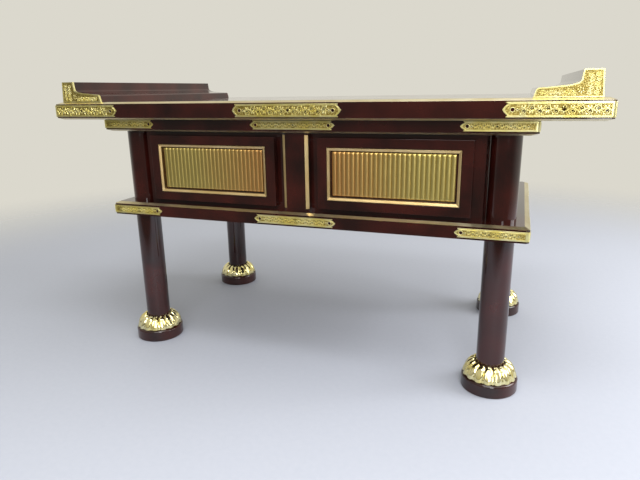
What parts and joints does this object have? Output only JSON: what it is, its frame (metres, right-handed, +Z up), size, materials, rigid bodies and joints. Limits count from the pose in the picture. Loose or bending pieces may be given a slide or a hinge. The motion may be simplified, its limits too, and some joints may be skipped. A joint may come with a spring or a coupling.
{
  "type": "altar desk",
  "caption": "Low lacquered altar desk with scroll ends, round columns on lotus feet, a mid shelf and overlay drawers.",
  "frame": {"origin": "on the floor under the middle of the desk", "axes": "+Z up, -Y to the front where the drawers open, +X to the right seen from the front"},
  "size_m": [1.213, 0.631, 0.6657],
  "materials": {
    "lacquer": "dark red-brown gloss lacquer over wood, gilt on the chamfers",
    "raw_wood": "plain planed wood inside the case",
    "gilt_wood": "carved wood under gold leaf",
    "chased_brass": "chased and gilt brass sheet"
  },
  "bodies": {
    "desk": {"top_board": "lacquer", "under_board": "lacquer", "shelf_board": "lacquer", "scroll_end_left": "lacquer", "scroll_end_right": "lacquer", "lower_leg_front_left": "lacquer", "upper_column_front_left": "lacquer", "foot_disc_front_left": "lacquer", "lower_leg_front_right": "lacquer", "upper_column_front_right": "lacquer", "foot_disc_front_right": "lacquer", "lower_leg_back_left": "lacquer", "upper_column_back_left": "lacquer", "foot_disc_back_left": "lacquer", "lower_leg_back_right": "lacquer", "upper_column_back_right": "lacquer", "foot_disc_back_right": "lacquer", "lotus_collar_front_left": "gilt_wood", "lotus_collar_front_right": "gilt_wood", "lotus_collar_back_left": "gilt_wood", "lotus_collar_back_right": "gilt_wood", "case_side_left": "lacquer", "case_side_right": "lacquer", "case_back": "lacquer", "case_floor": "lacquer", "case_top_rail": "lacquer", "centre_stile": "lacquer", "centre_post": "lacquer", "case_partition": "raw_wood", "top_fitting_front_left": "chased_brass", "top_fitting_front_right": "chased_brass", "top_fitting_back_left": "chased_brass", "top_fitting_back_right": "chased_brass", "top_fitting_middle": "chased_brass", "under_fitting_front_left": "chased_brass", "under_fitting_front_right": "chased_brass", "under_fitting_back_left": "chased_brass", "under_fitting_back_right": "chased_brass", "under_fitting_middle": "chased_brass", "shelf_fitting_front_left": "chased_brass", "shelf_fitting_front_right": "chased_brass", "shelf_fitting_back_left": "chased_brass", "shelf_fitting_back_right": "chased_brass", "shelf_fitting_middle": "chased_brass", "scroll_fitting_left": "chased_brass", "scroll_fitting_right": "chased_brass"},
    "left_drawer": {"left_drawer_front": "lacquer", "left_drawer_frame": "gilt_wood", "left_drawer_reeds": "gilt_wood", "left_drawer_wall_left": "raw_wood", "left_drawer_wall_right": "raw_wood", "left_drawer_back": "raw_wood", "left_drawer_bottom": "raw_wood"},
    "right_drawer": {"right_drawer_front": "lacquer", "right_drawer_frame": "gilt_wood", "right_drawer_reeds": "gilt_wood", "right_drawer_wall_left": "raw_wood", "right_drawer_wall_right": "raw_wood", "right_drawer_back": "raw_wood", "right_drawer_bottom": "raw_wood"}
  },
  "joints": [
    {"name": "left_drawer_slide", "type": "slide", "parent": "desk", "child": "left_drawer", "axis": [0, -1, 0], "range_m": [0, 0.3]},
    {"name": "right_drawer_slide", "type": "slide", "parent": "desk", "child": "right_drawer", "axis": [0, -1, 0], "range_m": [0, 0.3]}
  ]
}
